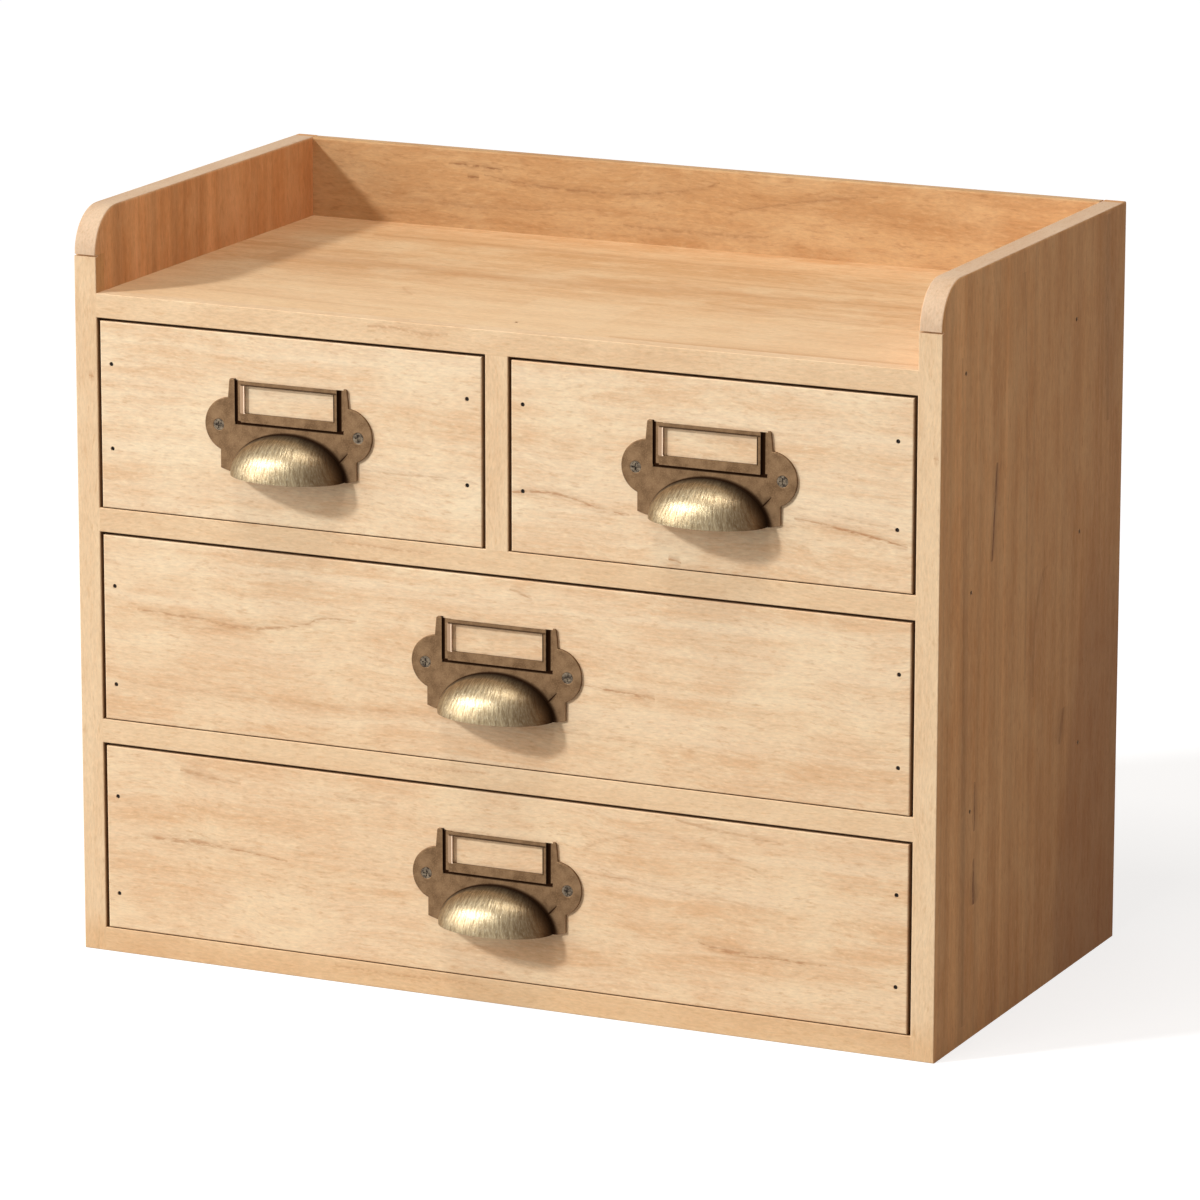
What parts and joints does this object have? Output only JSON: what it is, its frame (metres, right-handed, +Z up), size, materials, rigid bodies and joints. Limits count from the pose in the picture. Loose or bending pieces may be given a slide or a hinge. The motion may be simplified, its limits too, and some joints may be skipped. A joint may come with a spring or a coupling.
{
  "type": "desktop drawer chest",
  "caption": "Low wooden chest for a desktop: an open tray on top, sliding drawers in a face frame below, half-dome pulls with card frames.",
  "frame": {"origin": "middle of the case's footprint, on the surface that it stands on", "axes": "+X to the right as seen from the front, the drawers open towards -Y, +Z up"},
  "size_m": [0.34, 0.1923, 0.2785],
  "materials": {
    "frame_wood": "matt, bare pine",
    "side_wood": "matt, bare pine",
    "board_wood": "matt, bare pine",
    "tray_wood": "matt, bare pine, edge-glued",
    "back_wood": "matt, bare pine",
    "drawer_wood": "matt, bare pine with brown streaks",
    "drawer_box_wood": "matt, bare pine",
    "thin_panel_wood": "matt plywood",
    "pull_brass": "antiqued, brushed",
    "screw_steel": "dull zinc",
    "brad_steel": "dull"
  },
  "bodies": {
    "cabinet": {"left_side": "side_wood", "right_side": "side_wood", "face_frame": "frame_wood", "bottom_board": "board_wood", "lower_shelf": "board_wood", "upper_shelf": "board_wood", "tray_floor": "tray_wood", "centre_divider": "board_wood", "back_panel": "back_wood", "case_side_brads": "brad_steel", "back_panel_brads": "brad_steel", "tray_floor_brad": "brad_steel"},
    "upper_left_drawer": {"upper_left_drawer_front": "drawer_wood", "upper_left_drawer_left_side": "drawer_box_wood", "upper_left_drawer_right_side": "drawer_box_wood", "upper_left_drawer_back": "drawer_box_wood", "upper_left_drawer_bottom": "thin_panel_wood", "upper_left_drawer_brads": "brad_steel", "upper_left_pull": "pull_brass", "upper_left_pull_screws": "screw_steel"},
    "upper_right_drawer": {"upper_right_drawer_front": "drawer_wood", "upper_right_drawer_left_side": "drawer_box_wood", "upper_right_drawer_right_side": "drawer_box_wood", "upper_right_drawer_back": "drawer_box_wood", "upper_right_drawer_bottom": "thin_panel_wood", "upper_right_drawer_brads": "brad_steel", "upper_right_pull": "pull_brass", "upper_right_pull_screws": "screw_steel"},
    "middle_drawer": {"middle_drawer_front": "drawer_wood", "middle_drawer_left_side": "drawer_box_wood", "middle_drawer_right_side": "drawer_box_wood", "middle_drawer_back": "drawer_box_wood", "middle_drawer_bottom": "thin_panel_wood", "middle_drawer_brads": "brad_steel", "middle_pull": "pull_brass", "middle_pull_screws": "screw_steel"},
    "lower_drawer": {"lower_drawer_front": "drawer_wood", "lower_drawer_left_side": "drawer_box_wood", "lower_drawer_right_side": "drawer_box_wood", "lower_drawer_back": "drawer_box_wood", "lower_drawer_bottom": "thin_panel_wood", "lower_drawer_brads": "brad_steel", "lower_pull": "pull_brass", "lower_pull_screws": "screw_steel"}
  },
  "joints": [
    {"name": "upper_left_drawer_slide", "type": "slide", "parent": "cabinet", "child": "upper_left_drawer", "axis": [0, -1, 0], "range_m": [0, 0.125]},
    {"name": "upper_right_drawer_slide", "type": "slide", "parent": "cabinet", "child": "upper_right_drawer", "axis": [0, -1, 0], "range_m": [0, 0.125]},
    {"name": "middle_drawer_slide", "type": "slide", "parent": "cabinet", "child": "middle_drawer", "axis": [0, -1, 0], "range_m": [0, 0.125]},
    {"name": "lower_drawer_slide", "type": "slide", "parent": "cabinet", "child": "lower_drawer", "axis": [0, -1, 0], "range_m": [0, 0.125]}
  ]
}
